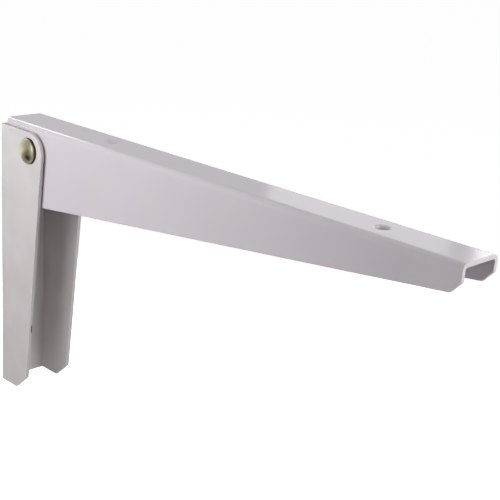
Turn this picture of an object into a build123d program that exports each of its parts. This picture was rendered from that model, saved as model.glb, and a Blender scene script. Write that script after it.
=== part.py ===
from build123d import *
import os

# A folding shelf bracket: two pressed steel channels joined by one rivet.
# Frame, in millimetres: the wall is the plane X = 0 and the arm points along +X. +Z is up.
# The origin is midway between the two wall holes, on the bracket's middle plane.

# Sheet steel of both channels
SHEET = 2.0
BEND_RADIUS = 3.0           # outside of each bend
EDGE_ROUND = 0.35           # paint softens every cut edge by this much
CORNER_ROUND = 0.9          # blunted corners of the cut outlines

# Wall leg, open away from the wall
LEG_WIDTH = 30.0
LEG_HEIGHT = 152.2
LEG_TOP_DEPTH = 40.4        # flange, out from the wall, at the top
LEG_FOOT_DEPTH = 25.1       # flange, out from the wall, at the foot
LEG_FOOT_CHAMFER = 9.3
LEG_EAR_RADIUS = 11.0       # rounded top corner of each flange
WALL_HOLE_DIAMETER = 5.5
WALL_HOLE_ABOVE_FOOT = 22.0
WALL_HOLE_SPACING = 70.0

# Pivot
PIVOT_FROM_WALL = 27.7
PIVOT_BELOW_LEG_TOP = 9.9
SHANK_DIAMETER = 8.0
HEAD_DIAMETER = 14.2
HEAD_HEIGHT = 3.3
HEAD_RIM = 1.3              # rim below the dome
HEAD_ROUND = 2.0            # between the near head's dome and rim
FORMED_HEAD_DIAMETER = 12.5
FORMED_HEAD_HEIGHT = 2.8
FORMED_HEAD_RIM = 0.7
PIVOT_CLEARANCE = 0.05      # radial, shank in ears, sleeve and washers
SLEEVE_DIAMETER = 12.0
WASHER_DIAMETER = 17.0
FACE_CLEARANCE = 0.1        # between faces that turn or slide past each other

# Shelf arm, open downwards and nested between the leg's flanges
ARM_REACH = 300.0           # front end, out from the wall
ARM_SIDE_GAP = 1.1          # between the flanges of arm and leg
ARM_TOP_ABOVE_PIVOT = 13.7
ARM_ROOT_DEPTH = 47.9       # flange, down from the top, at the leg
ARM_FRONT_DEPTH = 11.9      # flange, down from the top, at the front
ARM_NOSE_CHAMFER = 4.6
ARM_SHOULDER_GAP = 0.8      # between the leg's web and the arm's rear end
ARM_HEEL_RADIUS = 30.0      # lower rear corner, which swings past the leg's web
LIFT_TRAVEL = 10.0          # slot travel that frees the arm for folding
SLOT_CLEARANCE = 0.1        # on each side of the shank
SHELF_HOLE_DIAMETER = 5.5
SHELF_HOLE_RIM = 1.2        # soft rounded rim on the upper side
SHELF_HOLE_FROM_WALL = 79.7
SHELF_HOLE_SPACING = 173.2

# Places worked out from the sizes above
FOOT_Z = -WALL_HOLE_ABOVE_FOOT - WALL_HOLE_SPACING / 2
LEG_TOP_Z = FOOT_Z + LEG_HEIGHT
PIVOT_Z = LEG_TOP_Z - PIVOT_BELOW_LEG_TOP
ARM_TOP_Z = PIVOT_Z + ARM_TOP_ABOVE_PIVOT
LEG_INNER_WIDTH = LEG_WIDTH - 2 * SHEET
ARM_WIDTH = LEG_INNER_WIDTH - 2 * ARM_SIDE_GAP
ARM_INNER_WIDTH = ARM_WIDTH - 2 * SHEET
SHANK_HOLE_RADIUS = SHANK_DIAMETER / 2 + PIVOT_CLEARANCE
WASHER_THICKNESS = ARM_SIDE_GAP - 2 * FACE_CLEARANCE
SKIN_TOLERANCE = SHEET / 1000

LEG_PLANE = Plane((0, 0, FOOT_Z))
ARM_PLANE = Plane((0, 0, ARM_TOP_Z), x_dir=(0, 0, -1), z_dir=(1, 0, 0))
PIVOT_PLANE = Plane((PIVOT_FROM_WALL, 0, PIVOT_Z), x_dir=(1, 0, 0), z_dir=(0, 1, 0))
PIVOT_AXIS = Axis((PIVOT_FROM_WALL, 0, PIVOT_Z), (0, 1, 0))


def channel_section(width, depth):
    """U of bent sheet: the web lies along local Y at zero, the flanges point along local +X."""
    outer = Rectangle(depth, width, align=(Align.MIN, Align.CENTER))
    outer = fillet(outer.vertices().group_by(Axis.X)[0], BEND_RADIUS)
    inner = Rectangle(depth, width - 2 * SHEET, align=(Align.MIN, Align.CENTER))
    inner = fillet(inner.vertices().group_by(Axis.X)[0], BEND_RADIUS - SHEET)
    return outer - Pos(SHEET, 0) * inner


def near(outline, x, y):
    """Corner of an outline that is nearest to a point."""
    return outline.vertices().sort_by_distance((x, y, 0))[0]


def side_cut(outline, width):
    """Prism of a side outline, drawn as X and Z, across the given width."""
    return extrude(Plane.XZ * outline, width / 2, both=True)


def soften_outline(part, width, bend_direction):
    """Rounds the cut edges of a channel on the outer and the inner skin of its flanges."""
    edges = ShapeList()
    for skin in (width / 2, width / 2 - SHEET):
        for y in (skin, -skin):
            edges += part.edges().filter_by_position(Axis.Y, y - SKIN_TOLERANCE, y + SKIN_TOLERANCE)
    edges = edges.filter_by(bend_direction, reverse=True)
    return fillet(edges, EDGE_ROUND)


def leg_outline():
    """Side view of the leg: tapered flange, rounded ear, chamfered foot."""
    outline = Polygon(
        (-SHEET, FOOT_Z),
        (LEG_FOOT_DEPTH, FOOT_Z),
        (LEG_TOP_DEPTH, LEG_TOP_Z),
        (-SHEET, LEG_TOP_Z),
        align=None,
    )
    outline = fillet(near(outline, LEG_TOP_DEPTH, LEG_TOP_Z), LEG_EAR_RADIUS)
    outline = chamfer(near(outline, LEG_FOOT_DEPTH, FOOT_Z), LEG_FOOT_CHAMFER)
    foot_corners = outline.vertices().sort_by_distance((LEG_FOOT_DEPTH, FOOT_Z, 0))[:2]
    return fillet(foot_corners, CORNER_ROUND)


def arm_outline():
    """Side view of the arm: tapered flange, chamfered nose, swung heel."""
    rear_x = SHEET + ARM_SHOULDER_GAP
    heel_z = ARM_TOP_Z - ARM_ROOT_DEPTH
    nose_z = ARM_TOP_Z - ARM_FRONT_DEPTH
    outline = Polygon(
        (rear_x, ARM_TOP_Z + SHEET),
        (rear_x, heel_z),
        (ARM_REACH, nose_z),
        (ARM_REACH, ARM_TOP_Z + SHEET),
        align=None,
    )
    outline = chamfer(near(outline, ARM_REACH, nose_z), ARM_NOSE_CHAMFER)
    outline = fillet(outline.vertices().sort_by_distance((ARM_REACH, nose_z, 0))[:2], CORNER_ROUND)
    return fillet(near(outline, rear_x, heel_z), ARM_HEEL_RADIUS)


def wall_leg():
    """Channel that is screwed to the wall, with a hole for the rivet in each ear."""
    leg = extrude(LEG_PLANE * channel_section(LEG_WIDTH, LEG_TOP_DEPTH), LEG_HEIGHT)
    leg = leg & side_cut(leg_outline(), LEG_WIDTH)
    leg = soften_outline(leg, LEG_WIDTH, Axis.Z)
    leg -= extrude(PIVOT_PLANE * Circle(SHANK_HOLE_RADIUS), LEG_WIDTH / 2, both=True)
    for side in (-1, 1):
        hole_plane = Plane((0, 0, side * WALL_HOLE_SPACING / 2), x_dir=(0, 1, 0), z_dir=(1, 0, 0))
        leg -= extrude(hole_plane * Circle(WALL_HOLE_DIAMETER / 2), SHEET)
    return leg


def shelf_arm():
    """Channel that carries the shelf; slots in its flanges let it lift on the rivet."""
    arm = extrude(ARM_PLANE * channel_section(ARM_WIDTH, ARM_ROOT_DEPTH), ARM_REACH)
    arm = arm & side_cut(arm_outline(), ARM_WIDTH)
    arm = soften_outline(arm, ARM_WIDTH, Axis.X)
    slot_width = SHANK_DIAMETER + 2 * SLOT_CLEARANCE
    slot = Rot(0, 0, 90) * SlotCenterToCenter(LIFT_TRAVEL, slot_width)
    slot = Pos(PIVOT_FROM_WALL, PIVOT_Z - LIFT_TRAVEL / 2) * slot
    arm -= side_cut(slot, ARM_WIDTH)
    for x in (SHELF_HOLE_FROM_WALL, SHELF_HOLE_FROM_WALL + SHELF_HOLE_SPACING):
        arm -= Pos(x, 0, ARM_TOP_Z - SHEET / 2) * Cylinder(SHELF_HOLE_DIAMETER / 2, SHEET)
    rims = arm.edges().filter_by(GeomType.CIRCLE).group_by(Axis.Z)[-1]
    return fillet(rims, SHELF_HOLE_RIM)


def pivot_rivet():
    """Rivet through both channels: a domed head on the near side, a formed head on the far side."""
    shank = SHANK_DIAMETER / 2
    head = HEAD_DIAMETER / 2
    formed = FORMED_HEAD_DIAMETER / 2
    seat = LEG_WIDTH / 2
    dome = TangentArc((0, -seat - HEAD_HEIGHT), (head, -seat - HEAD_RIM), tangent=(1, 0))
    body = Polyline(
        (head, -seat - HEAD_RIM),
        (head, -seat),
        (shank, -seat),
        (shank, seat),
        (formed, seat),
        (formed, seat + FORMED_HEAD_RIM),
    )
    formed_dome = TangentArc((0, seat + FORMED_HEAD_HEIGHT), (formed, seat + FORMED_HEAD_RIM), tangent=(1, 0))
    middle = Line((0, seat + FORMED_HEAD_HEIGHT), (0, -seat - HEAD_HEIGHT))
    half = make_face((dome + body + formed_dome + middle).edges())
    half = fillet(near(half, head, -seat - HEAD_RIM), HEAD_ROUND)
    return revolve(Pos(PIVOT_FROM_WALL, 0, PIVOT_Z) * half, PIVOT_AXIS)


def pivot_ring(outer_diameter, thickness, middle_y):
    """Ring on the rivet's shank, centred at the given place across the bracket."""
    section = Circle(outer_diameter / 2) - Circle(SHANK_HOLE_RADIUS)
    return extrude(PIVOT_PLANE.offset(middle_y) * section, thickness / 2, both=True)


def build_parts():
    """All pieces of the bracket by name."""
    washer_y = (LEG_INNER_WIDTH - ARM_SIDE_GAP) / 2
    return {
        "wall_leg": wall_leg(),
        "shelf_arm": shelf_arm(),
        "pivot_rivet": pivot_rivet(),
        "pivot_sleeve": pivot_ring(SLEEVE_DIAMETER, ARM_INNER_WIDTH - 2 * FACE_CLEARANCE, 0),
        "near_washer": pivot_ring(WASHER_DIAMETER, WASHER_THICKNESS, -washer_y),
        "far_washer": pivot_ring(WASHER_DIAMETER, WASHER_THICKNESS, washer_y),
    }


os.makedirs("parts", exist_ok=True)
for name, piece in build_parts().items():
    export_step(piece, f"parts/{name}.step")
    print(name, round(piece.volume), "mm3")
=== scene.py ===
"""Looks of a folding shelf bracket: two powder-coated channels on one yellow-plated rivet."""

import logging
import math
from dataclasses import dataclass, field
from enum import Enum
from typing import Any, Mapping

import bpy
import numpy as np
from mathutils import Matrix, Vector

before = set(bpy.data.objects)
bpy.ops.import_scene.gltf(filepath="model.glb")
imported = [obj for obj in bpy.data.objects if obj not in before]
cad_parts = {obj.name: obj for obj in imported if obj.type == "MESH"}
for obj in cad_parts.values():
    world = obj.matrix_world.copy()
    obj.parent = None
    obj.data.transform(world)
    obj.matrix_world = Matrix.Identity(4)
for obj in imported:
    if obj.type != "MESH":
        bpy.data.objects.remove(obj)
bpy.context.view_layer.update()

MM = 0.001
IMAGE_PIXELS = 500
SENSOR_MM = 36.0
WHITE = (1.0, 1.0, 1.0, 1.0)

# Points of the bracket that the lamps face
BRACKET_MIDDLE_MM = (120.0, 0.0, 70.0)
LEG_TOP_MM = (45.0, 0.0, 75.0)
ARM_BEND_MM = (35.0, -11.0, 98.0)
ARM_FRONT_MM = (290.0, 0.0, 99.0)
ARM_NOSE_MM = (300.0, 0.0, 92.0)

# Sockets of a Mix node, which has one set for colours and one for values
COLOUR_A = 6
COLOUR_B = 7
COLOUR_OUT = 2
VALUE_FACTOR = 0
VALUE_A = 2
VALUE_B = 3
VALUE_OUT = 0

# Octaves of noise, from soft grain to smeared dirt
SOFT_DETAIL = 2.0
CLOUDY_DETAIL = 3.0
SMEARED_DETAIL = 5.0

log = logging.getLogger("folding_bracket")


def linear(code: str) -> tuple[float, float, float, float]:
    """Turns an sRGB hex colour into linear RGBA.

    Args:
        code: six hex digits after a hash sign.

    Returns:
        Linear red, green and blue, with an alpha of one.
    """
    values = np.array([int(code[i:i + 2], 16) for i in (1, 3, 5)]) / 255.0
    low = values / 12.92
    high = ((values + 0.055) / 1.055) ** 2.4
    red, green, blue = np.where(values <= 0.04045, low, high)
    return float(red), float(green), float(blue), 1.0


def add_node(
    tree: bpy.types.NodeTree,
    kind: str,
    settings: Mapping[str, Any] | None = None,
    inputs: Mapping[Any, Any] | None = None,
) -> bpy.types.Node:
    """Adds a shader node, sets its options and fills or links its inputs.

    Args:
        tree: the node tree that gets the node.
        kind: Blender's name for the node's type.
        settings: options of the node by attribute name.
        inputs: input sockets by name or number, each with a value or with the socket that feeds it.

    Returns:
        The new node.
    """
    made = tree.nodes.new(kind)
    for key, value in (settings or {}).items():
        setattr(made, key, value)
    for key, value in (inputs or {}).items():
        if isinstance(value, bpy.types.NodeSocket):
            tree.links.new(value, made.inputs[key])
        else:
            made.inputs[key].default_value = value
    return made


def per_metre(size_mm: float) -> float:
    """Noise scale at which one feature is about this many millimetres wide."""
    return 1.0 / (size_mm * MM)


class Piece(Enum):
    """Pieces of the bracket, by the names of their CAD nodes."""

    LEG = "wall_leg"
    ARM = "shelf_arm"
    RIVET = "pivot_rivet"
    SLEEVE = "pivot_sleeve"
    NEAR_WASHER = "near_washer"
    FAR_WASHER = "far_washer"


@dataclass(frozen=True)
class Spot:
    """A spot on a surface, such as a chip or a painted dark reflection: its middle and its half sizes."""

    middle_mm: tuple[float, float, float]
    half_mm: tuple[float, float, float]

    def mask(
        self,
        tree: bpy.types.NodeTree,
        place: bpy.types.NodeSocket,
        grain: bpy.types.NodeSocket,
        rim: tuple[float, float],
    ) -> bpy.types.NodeSocket:
        """Mask of the spot: distance from its middle, in half sizes, plus the grain that breaks its rim.

        Args:
            tree: the material's node tree.
            place: socket with Object coordinates.
            grain: socket with noise around one half.
            rim: sums of distance and grain at which the spot starts to fade and is gone.

        Returns:
            Socket that is one inside the spot.
        """
        fade_from, fade_to = rim
        offset = add_node(tree, "ShaderNodeVectorMath", {"operation": "SUBTRACT"},
                          {0: place, 1: Vector(self.middle_mm) * MM})
        scaled = add_node(tree, "ShaderNodeVectorMath", {"operation": "DIVIDE"},
                          {0: offset.outputs["Vector"], 1: Vector(self.half_mm) * MM})
        reach = add_node(tree, "ShaderNodeVectorMath", {"operation": "LENGTH"},
                         {0: scaled.outputs["Vector"]})
        ragged = add_node(tree, "ShaderNodeMath", {"operation": "ADD"},
                          {0: reach.outputs["Value"], 1: grain})
        faded = add_node(tree, "ShaderNodeMapRange", {"interpolation_type": "SMOOTHSTEP"},
                         {"Value": ragged.outputs[0], "From Min": fade_from, "From Max": fade_to,
                          "To Min": 1.0, "To Max": 0.0})
        return faded.outputs["Result"]


@dataclass(frozen=True)
class PowderCoat:
    """Glossy off-white polyester powder coat, sprayed and stoved on steel.

    It flows into a faint orange peel, so reflections are soft and slightly wavy. Handling leaves
    warm smudges that dull it a little, and a few spots on the edges are chipped to the dark steel.
    """

    name: str
    colour: str
    shade: str
    smudge: str = "#D8D3CA"
    steel: str = "#2E2A28"
    roughness: float = 0.12
    roughness_clean: float = -0.02
    roughness_smudged: float = 0.05
    roughness_range: tuple[float, float] = (0.3, 0.8)
    steel_roughness: float = 0.6
    peel_mm: float = 1.6
    peel_height_mm: float = 0.005
    mottle_mm: float = 38.0
    smudge_mm: float = 21.0
    smudge_grit: float = 0.65
    smudge_range: tuple[float, float] = (0.55, 0.80)
    smudge_strength: float = 0.35
    chip_grain_mm: float = 1.1
    chip_rim: tuple[float, float] = (1.35, 1.55)

    def material(self, chips: tuple[Spot, ...]) -> bpy.types.Material:
        """Builds the coat with its orange peel, smudges and chips.

        Args:
            chips: the spots where the coat is gone.

        Returns:
            The finished material.
        """
        made = bpy.data.materials.new(self.name)
        made.use_nodes = True
        tree = made.node_tree
        shader = tree.nodes["Principled BSDF"]
        place = add_node(tree, "ShaderNodeTexCoord").outputs["Object"]
        mottle = add_node(tree, "ShaderNodeTexNoise", {},
                          {"Vector": place, "Scale": per_metre(self.mottle_mm), "Detail": CLOUDY_DETAIL})
        surface = add_node(tree, "ShaderNodeMix", {"data_type": "RGBA"},
                           {"Factor": mottle.outputs["Fac"], COLOUR_A: linear(self.colour),
                            COLOUR_B: linear(self.shade)}).outputs[COLOUR_OUT]
        patch = add_node(tree, "ShaderNodeTexNoise", {},
                         {"Vector": place, "Scale": per_metre(self.smudge_mm), "Detail": SMEARED_DETAIL,
                          "Roughness": self.smudge_grit}).outputs["Fac"]
        smudges = add_node(tree, "ShaderNodeMapRange", {},
                           {"Value": patch, "From Min": self.smudge_range[0],
                            "From Max": self.smudge_range[1],
                            "To Min": 0.0, "To Max": self.smudge_strength})
        surface = add_node(tree, "ShaderNodeMix", {"data_type": "RGBA"},
                           {"Factor": smudges.outputs["Result"], COLOUR_A: surface,
                            COLOUR_B: linear(self.smudge)}).outputs[COLOUR_OUT]
        gloss = add_node(tree, "ShaderNodeMapRange", {},
                         {"Value": patch, "From Min": self.roughness_range[0],
                          "From Max": self.roughness_range[1],
                          "To Min": self.roughness + self.roughness_clean,
                          "To Max": self.roughness + self.roughness_smudged}).outputs["Result"]
        grain = add_node(tree, "ShaderNodeTexNoise", {},
                         {"Vector": place, "Scale": per_metre(self.chip_grain_mm),
                          "Detail": CLOUDY_DETAIL}).outputs["Fac"]
        for chip in chips:
            bare = chip.mask(tree, place, grain, self.chip_rim)
            surface = add_node(tree, "ShaderNodeMix", {"data_type": "RGBA"},
                               {"Factor": bare, COLOUR_A: surface,
                                COLOUR_B: linear(self.steel)}).outputs[COLOUR_OUT]
            gloss = add_node(tree, "ShaderNodeMix", {"data_type": "FLOAT"},
                             {VALUE_FACTOR: bare, VALUE_A: gloss,
                              VALUE_B: self.steel_roughness}).outputs[VALUE_OUT]
        peel = add_node(tree, "ShaderNodeTexNoise", {},
                        {"Vector": place, "Scale": per_metre(self.peel_mm), "Detail": SOFT_DETAIL})
        relief = add_node(tree, "ShaderNodeBump", {},
                          {"Height": peel.outputs["Fac"], "Distance": self.peel_height_mm * MM})
        tree.links.new(surface, shader.inputs["Base Color"])
        tree.links.new(gloss, shader.inputs["Roughness"])
        tree.links.new(relief.outputs["Normal"], shader.inputs["Normal"])
        return made


@dataclass(frozen=True)
class PaintedDarkReflection:
    """A painted dark reflection: a dark spot with a soft rim on a passivated plating."""

    spot: Spot
    colour: str = "#7A7450"
    rim: tuple[float, float] = (1.0, 1.9)


@dataclass(frozen=True)
class PaintedSeatShade:
    """Painted shade in the corner around a rivet's head, dark and rough by distance from the bracket's
    middle plane.
    """

    colour: str = "#3A3129"
    full_mm: float = 15.8
    clear_mm: float = 16.6
    roughness: float = 0.55

    def lay(
        self,
        tree: bpy.types.NodeTree,
        place: bpy.types.NodeSocket,
        colour: bpy.types.NodeSocket,
        gloss: bpy.types.NodeSocket,
    ) -> tuple[bpy.types.NodeSocket, bpy.types.NodeSocket]:
        """Lays the painted shade over a finish.

        Args:
            tree: the material's node tree.
            place: socket with Object coordinates.
            colour: socket with the finish's colour.
            gloss: socket with the finish's roughness.

        Returns:
            Sockets with the shaded colour and roughness.
        """
        across = add_node(tree, "ShaderNodeSeparateXYZ", {}, {"Vector": place}).outputs["Y"]
        outward = add_node(tree, "ShaderNodeMath", {"operation": "ABSOLUTE"}, {0: across})
        # Painted shade: fully dark close to the sheet, fading out up the head
        seat_shade_mask = add_node(tree, "ShaderNodeMapRange", {"interpolation_type": "SMOOTHSTEP"},
                        {"Value": outward.outputs[0], "From Min": self.full_mm * MM,
                         "From Max": self.clear_mm * MM, "To Min": 1.0, "To Max": 0.0}).outputs["Result"]
        shaded_colour = add_node(tree, "ShaderNodeMix", {"data_type": "RGBA"},
                         {"Factor": seat_shade_mask, COLOUR_A: colour, COLOUR_B: linear(self.colour)})
        dull = add_node(tree, "ShaderNodeMix", {"data_type": "FLOAT"},
                        {VALUE_FACTOR: seat_shade_mask, VALUE_A: gloss, VALUE_B: self.roughness})
        return shaded_colour.outputs[COLOUR_OUT], dull.outputs[VALUE_OUT]


@dataclass(frozen=True)
class PlatedMetal:
    """Zinc-plated steel, barrel-plated after forming; a passivation may tint it.

    The eye gets a satin metal with cloudy tints and fine random handling marks. It may carry a painted
    dark reflection, and painted shade where a head meets the sheet.
    """

    name: str
    colour: str
    cloud: str
    roughness: float
    roughness_bright: float = -0.06
    roughness_clouded: float = 0.08
    cloud_mm: float = 5.0
    cloud_range: tuple[float, float] = (0.3, 0.7)
    scratch_mm: float = 0.5
    scratch_height_mm: float = 0.004
    dark_reflection: PaintedDarkReflection | None = None
    seat_shade: PaintedSeatShade | None = None

    def material(self) -> bpy.types.Material:
        """Builds the plated metal with clouded tint, uneven gloss, fine marks and its dirt."""
        made = bpy.data.materials.new(self.name)
        made.use_nodes = True
        tree = made.node_tree
        shader = tree.nodes["Principled BSDF"]
        shader.inputs["Metallic"].default_value = 1.0
        place = add_node(tree, "ShaderNodeTexCoord").outputs["Object"]
        clouds = add_node(tree, "ShaderNodeTexNoise", {},
                          {"Vector": place, "Scale": per_metre(self.cloud_mm),
                           "Detail": CLOUDY_DETAIL}).outputs["Fac"]
        colour = add_node(tree, "ShaderNodeMix", {"data_type": "RGBA"},
                          {"Factor": clouds, COLOUR_A: linear(self.colour),
                           COLOUR_B: linear(self.cloud)}).outputs[COLOUR_OUT]
        gloss = add_node(tree, "ShaderNodeMapRange", {},
                         {"Value": clouds, "From Min": self.cloud_range[0], "From Max": self.cloud_range[1],
                          "To Min": self.roughness + self.roughness_bright,
                          "To Max": self.roughness + self.roughness_clouded}).outputs["Result"]
        # Painted dark reflection: a dark spot low on the dome
        if self.dark_reflection:
            reflection_mask = self.dark_reflection.spot.mask(tree, place, clouds, self.dark_reflection.rim)
            colour = add_node(tree, "ShaderNodeMix", {"data_type": "RGBA"},
                              {"Factor": reflection_mask, COLOUR_A: colour,
                               COLOUR_B: linear(self.dark_reflection.colour)}).outputs[COLOUR_OUT]
        # Painted shade: a dark ring where the head meets the sheet
        if self.seat_shade:
            colour, gloss = self.seat_shade.lay(tree, place, colour, gloss)
        marks = add_node(tree, "ShaderNodeTexNoise", {},
                         {"Vector": place, "Scale": per_metre(self.scratch_mm), "Detail": SOFT_DETAIL})
        relief = add_node(tree, "ShaderNodeBump", {},
                          {"Height": marks.outputs["Fac"], "Distance": self.scratch_height_mm * MM})
        tree.links.new(colour, shader.inputs["Base Color"])
        tree.links.new(gloss, shader.inputs["Roughness"])
        tree.links.new(relief.outputs["Normal"], shader.inputs["Normal"])
        return made


@dataclass(frozen=True)
class Nylon:
    """Natural nylon, moulded: milky white, matt, faintly uneven."""

    name: str = "natural_nylon"
    colour: str = "#D9D6CC"
    shade: str = "#CBC7BA"
    roughness: float = 0.5
    mottle_mm: float = 3.0
    grain_height_mm: float = 0.01

    def material(self) -> bpy.types.Material:
        """Builds the nylon with a faint mottle and moulded grain."""
        made = bpy.data.materials.new(self.name)
        made.use_nodes = True
        tree = made.node_tree
        shader = tree.nodes["Principled BSDF"]
        shader.inputs["Roughness"].default_value = self.roughness
        place = add_node(tree, "ShaderNodeTexCoord").outputs["Object"]
        mottle = add_node(tree, "ShaderNodeTexNoise", {},
                          {"Vector": place, "Scale": per_metre(self.mottle_mm), "Detail": SOFT_DETAIL})
        colour = add_node(tree, "ShaderNodeMix", {"data_type": "RGBA"},
                          {"Factor": mottle.outputs["Fac"], COLOUR_A: linear(self.colour),
                           COLOUR_B: linear(self.shade)})
        relief = add_node(tree, "ShaderNodeBump", {},
                          {"Height": mottle.outputs["Fac"], "Distance": self.grain_height_mm * MM})
        tree.links.new(colour.outputs[COLOUR_OUT], shader.inputs["Base Color"])
        tree.links.new(relief.outputs["Normal"], shader.inputs["Normal"])
        return made


def dress(piece: Piece, material: bpy.types.Material) -> None:
    """Gives a piece its finish.

    Args:
        piece: the piece.
        material: the finish.
    """
    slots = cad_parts[piece.value].data.materials
    slots.clear()
    slots.append(material)
    log.info("%s is finished in %s", piece.value, material.name)


@dataclass
class WallLeg:
    """The channel on the wall, with one chip on the open edge of each flange."""

    foot_z_mm: float = -57.0
    height_mm: float = 152.2
    foot_depth_mm: float = 25.1
    top_depth_mm: float = 40.4
    width_mm: float = 30.0
    sheet_mm: float = 2.0
    chip_heights_mm: tuple[float, float] = (40.0, 118.0)
    chip_half_mm: tuple[float, float, float] = (1.0, 0.9, 3.0)
    finish: PowderCoat = PowderCoat("powder_coat_leg", "#E3DEDE", "#CFC9CB", mottle_mm=17.0)

    def open_edge(self, height_mm: float) -> float:
        """Distance of the sloping open edge from the wall, at a height above the foot."""
        taper = (self.top_depth_mm - self.foot_depth_mm) / self.height_mm
        return self.foot_depth_mm + taper * height_mm

    def build(self) -> None:
        """Dresses the leg in the coat, with its chips on the inner skins of the flanges."""
        inner_skin = self.width_mm / 2 - self.sheet_mm
        chips = []
        for side, height in zip((-1, 1), self.chip_heights_mm):
            middle = (self.open_edge(height), side * inner_skin, self.foot_z_mm + height)
            chips.append(Spot(middle, self.chip_half_mm))
        dress(Piece.LEG, self.finish.material(tuple(chips)))


@dataclass
class ShelfArm:
    """The channel under the shelf, nicked on the far top edge near the front."""

    top_z_mm: float = 99.0
    far_edge_mm: float = 10.4
    nick_places_mm: tuple[float, ...] = (275.0, 294.0)
    nick_half_mm: tuple[float, float, float] = (0.9, 0.7, 0.7)
    finish: PowderCoat = PowderCoat("powder_coat_arm", "#DCD6DC", "#D5CFD5")

    def build(self) -> None:
        """Dresses the arm in the coat, with its nicks."""
        nicks = [Spot((x, self.far_edge_mm, self.top_z_mm), self.nick_half_mm) for x in self.nick_places_mm]
        dress(Piece.ARM, self.finish.material(tuple(nicks)))


@dataclass
class Pivot:
    """Rivet, sleeve and washers that join the two channels; the near head has a dark reflection painted low
    on its dome.
    """

    rivet_finish: PlatedMetal = PlatedMetal(
        "yellow_zinc",
        "#E4DCC2",
        "#D2C9A8",
        roughness=0.27,
        # dark reflection painted low on the near head's dome
        dark_reflection=PaintedDarkReflection(Spot((30.7, -17.7, 82.7), (1.9, 2.0, 1.6))),
        # painted shade where the head meets the sheet
        seat_shade=PaintedSeatShade(),
    )
    sleeve_finish: PlatedMetal = PlatedMetal("bright_zinc", "#A6A8AB", "#8F9194", roughness=0.38)
    washer_finish: Nylon = field(default_factory=Nylon)

    def build(self) -> None:
        """Dresses the rivet, the sleeve and both washers."""
        dress(Piece.RIVET, self.rivet_finish.material())
        dress(Piece.SLEEVE, self.sleeve_finish.material())
        nylon = self.washer_finish.material()
        for washer in (Piece.NEAR_WASHER, Piece.FAR_WASHER):
            dress(washer, nylon)


@dataclass(frozen=True)
class Softbox:
    """A rectangular lamp: where it hangs, the point that it faces, its size and its power.

    One that isn't mirrored gives light, but no reflection of itself.
    """

    name: str
    place_mm: tuple[float, float, float]
    aim_mm: tuple[float, float, float]
    size_mm: tuple[float, float]
    watts: float
    mirrored: bool = True

    def build(self) -> None:
        """Hangs the lamp, out of the camera's sight."""
        light = bpy.data.lights.new(self.name, "AREA")
        light.shape = "RECTANGLE"
        light.size = self.size_mm[0] * MM
        light.size_y = self.size_mm[1] * MM
        light.energy = self.watts
        lamp = bpy.data.objects.new(self.name, light)
        place = Vector(self.place_mm) * MM
        facing = (Vector(self.aim_mm) * MM - place).to_track_quat("-Z", "Y")
        lamp.matrix_world = Matrix.Translation(place) @ facing.to_matrix().to_4x4()
        lamp.visible_camera = False
        lamp.visible_glossy = self.mirrored
        bpy.context.scene.collection.objects.link(lamp)
        log.info("%s of %.2f W", self.name, self.watts)


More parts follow.
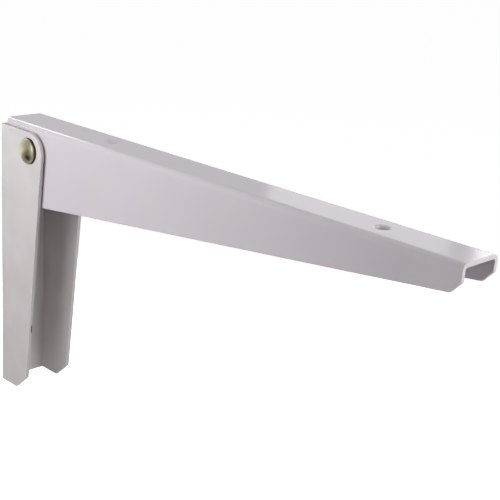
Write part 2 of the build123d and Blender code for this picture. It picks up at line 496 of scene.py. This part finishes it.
@dataclass
class Studio:
    """White studio with a pale floor and soft lamps around the bracket.

    The front lamps light the near flanges, the right ones the insides and open edges, and the rear
    one the back. The strip draws the bright line on the arm's bend, the two cards are the sheen on
    the arm's upper face, and the nose lamp lifts the cut edges of the arm's front. The floor and the
    room are white to the camera. Reflections see them bright behind the bracket, as a white sweep
    would be, and dimmer on the camera's side.
    """

    floor_z_mm: float = -215.0
    floor_half_mm: float = 6000.0
    floor_colour: str = "#D2D2D2"
    floor_roughness: float = 0.9
    floor_lift: float = 0.92
    sweep_side: tuple[float, float, float] = (-0.90, 0.43, 0.0)
    sweep_start_mm: float = 300.0
    sweep_end_mm: float = 900.0
    room_fill: float = 0.10
    room_mirrored: float = 0.42
    backdrop: float = 0.80
    backdrop_side: tuple[float, float, float] = (-0.69, 0.72, 0.0)
    backdrop_range: tuple[float, float] = (-0.1, 0.5)
    lamps: tuple[Softbox, ...] = (
        Softbox("front", (140.0, -620.0, 330.0), BRACKET_MIDDLE_MM, (300.0, 300.0), 0.32),
        Softbox("front_low", (120.0, -560.0, 20.0), BRACKET_MIDDLE_MM, (400.0, 400.0), 0.30),
        Softbox("front_near", (40.0, -250.0, 168.0), LEG_TOP_MM, (260.0, 260.0), 0.62, mirrored=False),
        Softbox("right", (781.0, 140.6, 251.2), BRACKET_MIDDLE_MM, (300.0, 300.0), 1.22),
        Softbox("right_high", (620.0, 180.0, 480.0), BRACKET_MIDDLE_MM, (300.0, 300.0), 1.04),
        Softbox("rear", (-420.0, 560.0, 40.0), BRACKET_MIDDLE_MM, (400.0, 400.0), 4.0, mirrored=False),
        Softbox("left_strip", (-499.0, -17.0, 498.0), ARM_BEND_MM, (60.0, 120.0), 0.35),
        Softbox("back_card", (-260.0, 650.0, 333.0), ARM_FRONT_MM, (220.0, 160.0), 0.075),
        Softbox("nose", (430.0, 0.0, 86.0), ARM_NOSE_MM, (20.0, 20.0), 0.06, mirrored=False),
        Softbox("front_card", (14.0, 650.0, 333.0), ARM_FRONT_MM, (190.0, 160.0), 0.25),
    )

    def build(self) -> None:
        """Makes the floor, the world and the lamps."""
        self.floor()
        self.world()
        for lamp in self.lamps:
            lamp.build()

    def floor(self) -> None:
        """Makes the floor, a flat square: white to the camera, and to reflections behind the bracket."""
        half = self.floor_half_mm * MM
        corners = np.array([[-half, -half], [half, -half], [half, half], [-half, half]])
        points = np.column_stack([corners, np.full(len(corners), self.floor_z_mm * MM)])
        mesh = bpy.data.meshes.new("floor")
        mesh.from_pydata(points.tolist(), [], [(0, 1, 2, 3)])
        made = bpy.data.materials.new("pale_floor")
        made.use_nodes = True
        tree = made.node_tree
        shader = tree.nodes["Principled BSDF"]
        shader.inputs["Base Color"].default_value = linear(self.floor_colour)
        shader.inputs["Roughness"].default_value = self.floor_roughness
        shader.inputs["Specular IOR Level"].default_value = 0.0
        shader.inputs["Emission Color"].default_value = WHITE
        path = add_node(tree, "ShaderNodeLightPath")
        place = add_node(tree, "ShaderNodeTexCoord").outputs["Object"]
        behind = add_node(tree, "ShaderNodeVectorMath", {"operation": "DOT_PRODUCT"},
                          {0: place, 1: Vector(self.sweep_side).normalized()})
        sweep = add_node(tree, "ShaderNodeMapRange", {"interpolation_type": "SMOOTHSTEP"},
                         {"Value": behind.outputs["Value"], "From Min": self.sweep_start_mm * MM,
                          "From Max": self.sweep_end_mm * MM, "To Min": 0.0, "To Max": 1.0})
        shown = add_node(tree, "ShaderNodeMath", {"operation": "MULTIPLY"},
                         {0: self.reflected(tree, path), 1: sweep.outputs["Result"]})
        seen = add_node(tree, "ShaderNodeMath", {"operation": "MAXIMUM"},
                        {0: path.outputs["Is Camera Ray"], 1: shown.outputs[0]})
        lift = add_node(tree, "ShaderNodeMath", {"operation": "MULTIPLY"},
                        {0: seen.outputs[0], 1: self.floor_lift})
        tree.links.new(lift.outputs[0], shader.inputs["Emission Strength"])
        mesh.materials.append(made)
        plane = bpy.data.objects.new("floor", mesh)
        bpy.context.scene.collection.objects.link(plane)
        log.info("floor at %.0f mm", self.floor_z_mm)

    def reflected(self, tree: bpy.types.NodeTree, path: bpy.types.Node) -> bpy.types.NodeSocket:
        """One for glossy and transmission rays, else zero.

        Args:
            tree: the node tree that gets the node.
            path: its Light Path node.

        Returns:
            Socket with the mask.
        """
        shiny = add_node(tree, "ShaderNodeMath", {"operation": "MAXIMUM"},
                         {0: path.outputs["Is Glossy Ray"], 1: path.outputs["Is Transmission Ray"]})
        return shiny.outputs[0]

    def world(self) -> None:
        """White to the camera, backdrop and dimmer room to reflections, an even dim fill as light."""
        made = bpy.data.worlds.new("studio")
        bpy.context.scene.world = made
        made.use_nodes = True
        tree = made.node_tree
        sky = tree.nodes["Background"]
        path = add_node(tree, "ShaderNodeLightPath")
        direction = add_node(tree, "ShaderNodeTexCoord").outputs["Generated"]
        ahead = add_node(tree, "ShaderNodeVectorMath", {"operation": "DOT_PRODUCT"},
                         {0: direction, 1: Vector(self.backdrop_side).normalized()})
        backdrop = add_node(tree, "ShaderNodeMapRange", {"interpolation_type": "SMOOTHSTEP"},
                            {"Value": ahead.outputs["Value"], "From Min": self.backdrop_range[0],
                             "From Max": self.backdrop_range[1], "To Min": self.room_mirrored,
                             "To Max": self.backdrop})
        fill = add_node(tree, "ShaderNodeMix", {"data_type": "FLOAT"},
                        {VALUE_FACTOR: self.reflected(tree, path), VALUE_A: self.room_fill,
                         VALUE_B: backdrop.outputs["Result"]})
        strength = add_node(tree, "ShaderNodeMix", {"data_type": "FLOAT"},
                            {VALUE_FACTOR: path.outputs["Is Camera Ray"], VALUE_A: fill.outputs[VALUE_OUT],
                             VALUE_B: 1.0})
        tree.links.new(strength.outputs[VALUE_OUT], sky.inputs["Strength"])
        sky.inputs["Color"].default_value = WHITE


@dataclass
class PhotoCamera:
    """Camera at the photograph's viewing angle, found from the edges of both channels."""

    azimuth_deg: float = 43.472
    elevation_deg: float = 18.028
    roll_deg: float = 4.002
    focal_pixels: float = 1081.21
    place_mm: tuple[float, float, float] = (501.86, -338.73, 221.27)
    clip_start_mm: float = 10.0

    def build(self) -> None:
        """Makes the camera and makes it the scene's own."""
        data = bpy.data.cameras.new("photo_camera")
        data.sensor_width = SENSOR_MM
        data.lens = SENSOR_MM * self.focal_pixels / IMAGE_PIXELS
        data.clip_start = self.clip_start_mm * MM
        azimuth = math.radians(self.azimuth_deg)
        elevation = math.radians(self.elevation_deg)
        back = Vector((math.sin(azimuth) * math.cos(elevation),
                       -math.cos(azimuth) * math.cos(elevation),
                       math.sin(elevation)))
        right = Vector((math.cos(azimuth), math.sin(azimuth), 0.0))
        level = Matrix((right, back.cross(right), back)).transposed()
        turned = level @ Matrix.Rotation(math.radians(self.roll_deg), 3, "Z")
        camera = bpy.data.objects.new("photo_camera", data)
        camera.matrix_world = Matrix.Translation(Vector(self.place_mm) * MM) @ turned.to_4x4()
        bpy.context.scene.collection.objects.link(camera)
        bpy.context.scene.camera = camera
        log.info("camera with a %.1f mm lens", data.lens)


def main() -> None:
    """Dresses the bracket and sets up the studio and the camera."""
    logging.basicConfig(level=logging.INFO, format="%(name)s: %(message)s")
    bpy.context.scene.view_settings.view_transform = "Standard"
    for assembly in (WallLeg(), ShelfArm(), Pivot(), Studio(), PhotoCamera()):
        assembly.build()


if __name__ == "__main__":
    main()
